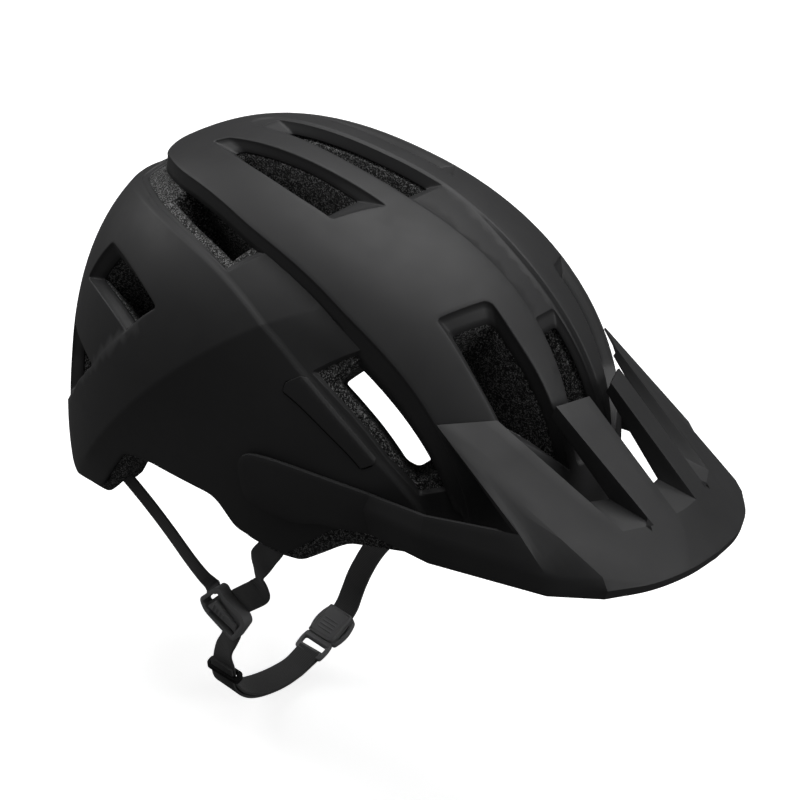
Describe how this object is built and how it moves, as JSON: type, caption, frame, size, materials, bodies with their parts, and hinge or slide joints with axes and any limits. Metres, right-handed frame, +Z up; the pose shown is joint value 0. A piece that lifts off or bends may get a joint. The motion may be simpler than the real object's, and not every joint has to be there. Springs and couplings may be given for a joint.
{
  "type": "cycling helmet",
  "caption": "Trail cycling helmet: two-piece outer shell over a vented foam liner, ribbed tilting visor, dial-fit cradle and buckled chin strap.",
  "frame": {"origin": "on the flat seat under the crown pad, where the top of the head meets it, on the midline", "axes": "+X to the wearer's left, +Z up, -Y forward towards the visor"},
  "size_m": [0.204, 0.365, 0.3065],
  "materials": {
    "black_shell": "matte",
    "black_visor": "matte",
    "black_foam": "matte",
    "pad_fabric": "matte",
    "webbing": "matte",
    "dark_plastic": "satin"
  },
  "bodies": {
    "helmet": {"lower_shell": "black_shell", "upper_shell": "black_shell", "eps_liner": "black_foam", "side_insert_left": "black_shell", "side_insert_right": "black_shell", "crown_pad": "pad_fabric", "brow_pad": "pad_fabric", "side_pad_left": "pad_fabric", "side_pad_right": "pad_fabric", "rear_pad_left": "pad_fabric", "rear_pad_right": "pad_fabric", "visor_boss_left": "black_visor", "visor_boss_right": "black_visor", "height_guide": "dark_plastic", "strap_anchor_front_left": "dark_plastic", "strap_anchor_front_right": "dark_plastic", "strap_anchor_rear_left": "dark_plastic", "strap_anchor_rear_right": "dark_plastic", "front_strap_left": "webbing", "front_strap_right": "webbing", "rear_strap_left": "webbing", "rear_strap_right": "webbing", "strap_divider_left": "dark_plastic", "strap_divider_right": "dark_plastic", "chin_strap_left": "webbing", "chin_strap_right": "webbing", "buckle_body": "dark_plastic", "buckle_catch": "dark_plastic"},
    "visor": {"visor": "black_visor"},
    "cradle": {"cradle_yoke": "dark_plastic", "height_spine": "dark_plastic", "dial_housing": "dark_plastic"},
    "dial": {"dial_knob": "black_shell"},
    "arm_left": {"cradle_arm_left": "dark_plastic"},
    "arm_right": {"cradle_arm_right": "dark_plastic"},
    "lever_left": {"cam_lever_left": "dark_plastic"},
    "lever_right": {"cam_lever_right": "dark_plastic"},
    "keeper": {"strap_keeper": "dark_plastic"},
    "release_tab": {"release_tab": "dark_plastic"}
  },
  "joints": [
    {"name": "visor_tilt", "type": "hinge", "parent": "helmet", "child": "visor", "pos_m": [0, -0.022, -0.087], "axis": [1, 0, 0], "range_deg": [-15, 5]},
    {"name": "cradle_height", "type": "slide", "parent": "helmet", "child": "cradle", "axis": [0, 0, 1], "range_m": [-0.008, 0.008]},
    {"name": "dial_spin", "type": "hinge", "parent": "cradle", "child": "dial", "pos_m": [0, 0.1074, -0.1365], "axis": [0, 1, 0], "range_deg": [0, 300]},
    {"name": "arm_left_draw", "type": "slide", "parent": "cradle", "child": "arm_left", "axis": [-1, 0, 0], "range_m": [0, 0.008]},
    {"name": "arm_right_draw", "type": "slide", "parent": "cradle", "child": "arm_right", "axis": [1, 0, 0], "range_m": [0, 0.008]},
    {"name": "lever_left_open", "type": "hinge", "parent": "helmet", "child": "lever_left", "pos_m": [0.0783, 0.02155, -0.18055], "axis": [0, -0.5408, 0.8412], "range_deg": [0, 65]},
    {"name": "lever_right_open", "type": "hinge", "parent": "helmet", "child": "lever_right", "pos_m": [-0.0783, 0.02155, -0.18055], "axis": [0, 0.5408, -0.8412], "range_deg": [0, 65]},
    {"name": "keeper_slide", "type": "slide", "parent": "helmet", "child": "keeper", "axis": [0.3996, 0.1784, -0.8992], "range_m": [-0.004, 0.006]},
    {"name": "release_slide", "type": "slide", "parent": "helmet", "child": "release_tab", "axis": [0.2286, 0.9429, -0.2421], "range_m": [0, 0.0035]}
  ],
  "couplings": [
    {"joint": "arm_left_draw", "follows": "dial_spin", "m_per_rad": 0.0015},
    {"joint": "arm_right_draw", "follows": "dial_spin", "m_per_rad": 0.0015}
  ]
}
